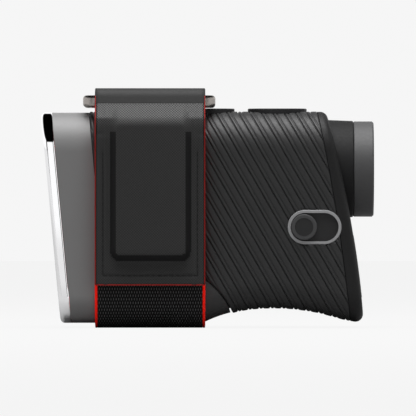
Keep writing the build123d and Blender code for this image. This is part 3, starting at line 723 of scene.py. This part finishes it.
def pad_relief(points, depth):
    """Raises the magnet pad and presses in the stitched lines on the flap's outer face."""
    x, y, z = points.T
    top = depth > 1.9
    y = np.where(top, bulge(np.stack([y, z], 1))[:, 0], y)
    gap_x = np.maximum(np.maximum(PAD["x"][0] + 1.2 - x, x - PAD["x"][1] + 1.2), 0)
    low = np.maximum(PAD["z"][0] + 1.2 - z, 0) / 1.35
    high = np.maximum(z - PAD["z"][1] + 1.2, 0) / 3.2
    gap = np.hypot(gap_x, np.maximum(low, high)) - 1.2
    mask = 1 - smooth_step(gap / 2.3)
    crown = 0.12 * smooth_step(-gap / 3)
    lifted = y + (PAD["face"] + 0.25 - crown - y) * mask
    groove = np.zeros_like(x)
    for line in (-15.9, 16.0):
        near = np.exp(-((x - line) / 0.32) ** 2) * (z < SEAM_Z - 0.5) * (z > 17.6)
        groove = np.maximum(groove, near)
    groove = np.maximum(groove, np.exp(-((z - 17.8) / 0.32) ** 2) * (np.abs(x) < 16.2))
    groove = np.maximum(groove, np.exp(-((z - 65.5) / 0.3) ** 2) * (np.abs(x) > 15.2) * (np.abs(x) < 18))
    puff = 0.12 * np.sin(np.clip((np.abs(x) - 14) / 2, 0, 1) * math.pi) * (z < SEAM_Z)
    moved = points.copy()
    side_on = np.clip((-y - 18) / 4, 0, 1) * (1 - mask)
    moved[:, 1] = np.where(top, lifted - (puff - 0.28 * groove) * side_on, y)
    return moved


flap = ribbon("flap_cloth", flap_path, -1, flat_rim(-STRAP + 0.35, STRAP - 0.35, 0.0, 2.0, 0.5, 0.35),
              "flap_fabric", "strap_flap", pad_relief)
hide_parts("strap_flap", "magnet_pad")
# The pad's side walls and downward-facing faces take the darker copy of the cloth: painted shade.
flap.data.materials.append(pad_painted_shade)
for face in flap.data.polygons:
    if face.center.y < -25.2 * MM and face.center.z < 66 * MM and (
            abs(face.normal.x) > 0.28 or face.normal.z < -0.28):
        face.material_index = 1


flap_normal, _ = frames(flap_path, -1)
flap_face = bulge(flap_path + flap_normal * 2.08)
edge_face = np.array([p for p in flap_face if p[1] < 78.8 and p[0] < -BAR[0]])
for side in (-1, 1):
    low, high = sorted((side * (STRAP - 0.42), side * STRAP))
    edge = ribbon(f"flap_edge_{'left' if side < 0 else 'right'}", edge_face, -1,
                  flat_rim(low, high, -1.9, 0.0, 0.3, 0.12), "red_edging", "strap_flap")
    edge.data.materials[0] = dark_binding
    if side < 0:
        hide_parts("flap_edging")
hem_path = np.array([(FLAP_IN, FLAP_END + 0.42 - 0.06 * k) for k in range(8)])
hem = ribbon("flap_hem", hem_path, -1, flat_rim(-STRAP + 0.2, STRAP - 0.2, 0.05, 2.05, 1.0, 0.12),
             "red_edging", "strap_flap")
hem.data.materials[0] = dark_binding

# The fold round the bar is smooth binding, and the webbing pouch starts below it.
fold_face = np.array([p for p in flap_path + flap_normal * 2.0 if p[1] > SEAM_Z])
fold = ribbon("flap_fold", fold_face, -1, flat_rim(-STRAP, STRAP, -1.95, 0.06, 1.5, 0.2),
              "flap_fabric", "strap_flap")
fold.data.materials[0] = fold_finish


def stitches(name, spots, outward):
    """Short sunk threads, one for each (x, z, turned) spot on the flap's face, in mm."""
    points, faces = [], []
    for x, z, turned in spots:
        base = len(points)
        for t in np.linspace(-1, 1, 7):
            swell = math.sqrt(max(0.04, 1 - t * t))
            for ring in range(6):
                a = ring * math.pi / 3
                side, rise = 0.14 * swell * math.cos(a), 0.1 * swell * math.sin(a)
                long = 0.85 * t
                dx, dz = (long, side) if turned else (side, long)
                points.append((x + dx, outward - rise, z + dz))
        for i in range(6):
            for k in range(6):
                m = (k + 1) % 6
                here, there = base + i * 6, base + i * 6 + 6
                faces.append((here + k, here + m, there + m, there + k))
        faces.append(tuple(base + k for k in range(6)))
        faces.append(tuple(base + 36 + k for k in reversed(range(6))))
    piece = make_piece(name, points, faces, "flap_fabric", [(0, 0)] * len(points))
    piece.data.materials[0] = thread_finish
    clean(piece, 0.001)
    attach(piece, "strap_flap")
    return piece


spots = []
for line in (-15.9, 16.0):
    spots += [(line, z, False) for z in np.arange(18.9, 59.0, 2.1)]
spots += [(x, 17.8, True) for x in np.arange(-15.2, 15.6, 2.05)]
stitches("flap_stitches", spots, FLAP_OUT - 0.05)

# ------------------------------------------------------------------ floor, light and camera, in m

scene.view_settings.view_transform = "Standard"
world = bpy.data.worlds.new("studio")
scene.world = world
world.use_nodes = True
sky = world.node_tree


def sky_light(value, strength):
    """A background that a number between 0 and 1 lights up."""
    node = sky.nodes.new("ShaderNodeBackground")
    sky.links.new(value, node.inputs["Color"])
    node.inputs["Strength"].default_value = strength
    return node.outputs[0]


def choose_sky(factor, first, second):
    node = sky.nodes.new("ShaderNodeMixShader")
    sky.links.new(factor, node.inputs[0])
    sky.links.new(first, node.inputs[1])
    sky.links.new(second, node.inputs[2])
    return node.outputs[0]


heading = add_node(sky, "ShaderNodeSeparateXYZ")
sky.links.new(add_node(sky, "ShaderNodeTexCoord").outputs["Generated"], heading.inputs[0])
east, north, up = heading.outputs
bearing = math_node(sky, "ABSOLUTE", math_node(sky, "ARCTAN2", east, math_node(sky, "MULTIPLY", north, -1.0)))
card = ramp(sky, bearing, 0.2, 0.26, 1.0, 0.0)
walls = ramp(sky, bearing, 0.62, 0.72, 0.0, 1.0)
low_sky = ramp(sky, up, 0.43, 0.47, 1.0, 0.0)
mirrored = math_node(sky, "MULTIPLY", math_node(sky, "ADD", card, walls), low_sky)
facing = math_node(sky, "MULTIPLY", math_node(sky, "ABSOLUTE", north), 0.62)
soft = math_node(sky, "ADD", math_node(sky, "ADD", facing, 0.03),
                 math_node(sky, "MULTIPLY", math_node(sky, "MAXIMUM", up, 0.0), 0.5))
ray = add_node(sky, "ShaderNodeLightPath")
backdrop = sky.nodes["Background"]
backdrop.inputs["Color"].default_value = (0.92, 0.92, 0.92, 1)
lit = choose_sky(ray.outputs["Is Glossy Ray"], sky_light(soft, 0.8), sky_light(mirrored, 1.15))
lit = choose_sky(ray.outputs["Is Camera Ray"], lit, backdrop.outputs[0])
sky.links.new(lit, sky.nodes["World Output"].inputs["Surface"])

floor_mesh = bpy.data.meshes.new("floor")
floor_mesh.from_pydata([(-4, -4, 0), (4, -4, 0), (4, 4, 0), (-4, 4, 0)], [], [(0, 1, 2, 3)])
floor = bpy.data.objects.new("floor", floor_mesh)
scene.collection.objects.link(floor)
pale, tree, shader = new_material("pale floor")
shader.inputs["Base Color"].default_value = (0.3, 0.3, 0.3, 1)
shader.inputs["Roughness"].default_value = 0.9
glow = add_node(tree, "ShaderNodeEmission", Color=(0.95, 0.95, 0.95, 1))
blend = add_node(tree, "ShaderNodeMixShader")
rays = add_node(tree, "ShaderNodeLightPath")
spot = add_node(tree, "ShaderNodeNewGeometry")
reach = add_node(tree, "ShaderNodeVectorMath")
reach.operation = "LENGTH"
tree.links.new(spot.outputs["Position"], reach.inputs[0])
# Mirrored far off, the floor is as pale as the backdrop; close by it lies in the object's shade.
far = math_node(tree, "MULTIPLY", rays.outputs["Is Glossy Ray"],
                ramp(tree, reach.outputs["Value"], 0.2, 0.7, 0.0, 1.0))
seen = math_node(tree, "MULTIPLY", math_node(tree, "MAXIMUM", rays.outputs["Is Camera Ray"], far), 0.93)
tree.links.new(seen, blend.inputs[0])
tree.links.new(shader.outputs[0], blend.inputs[1])
tree.links.new(glow.outputs[0], blend.inputs[2])
tree.links.new(blend.outputs[0], tree.nodes["Material Output"].inputs["Surface"])
floor.data.materials.append(pale)


def area_light(name, place, target, size, power):
    """A square lamp that faces its target."""
    lamp = bpy.data.lights.new(name, "AREA")
    lamp.energy = power
    lamp.shape = "RECTANGLE"
    lamp.size = size
    lamp.size_y = size
    holder = bpy.data.objects.new(name, lamp)
    holder.location = place
    holder.rotation_euler = (Vector(target) - Vector(place)).to_track_quat("-Z", "Y").to_euler()
    scene.collection.objects.link(holder)
    return holder


middle = ((cad_bounds[0][0] + cad_bounds[1][0]) / 2, 0.0, 0.04)
overhead = area_light("overhead", (0.02, -0.12, 0.9), middle, 0.75, 20)
# The bare metal mirrors the walls of the studio, but not the lamp.
unlit = bpy.data.collections.new("not lit by the lamp")
for piece in (bezel, nodes["strap_ring"]):
    unlit.objects.link(piece)
overhead.light_linking.receiver_collection = unlit
for link in unlit.collection_objects:
    link.light_linking.link_state = "EXCLUDE"

VIEW_WIDTH = 0.14144
DISTANCE = 3.2
eye = bpy.data.cameras.new("camera")
camera = bpy.data.objects.new("camera", eye)
camera.location = (0.01958, -DISTANCE, 0.04056)
camera.rotation_euler = (math.pi / 2, 0, 0)
eye.sensor_width = 36
eye.lens = 36 * DISTANCE / VIEW_WIDTH
eye.clip_end = 20
scene.collection.objects.link(camera)
scene.camera = camera
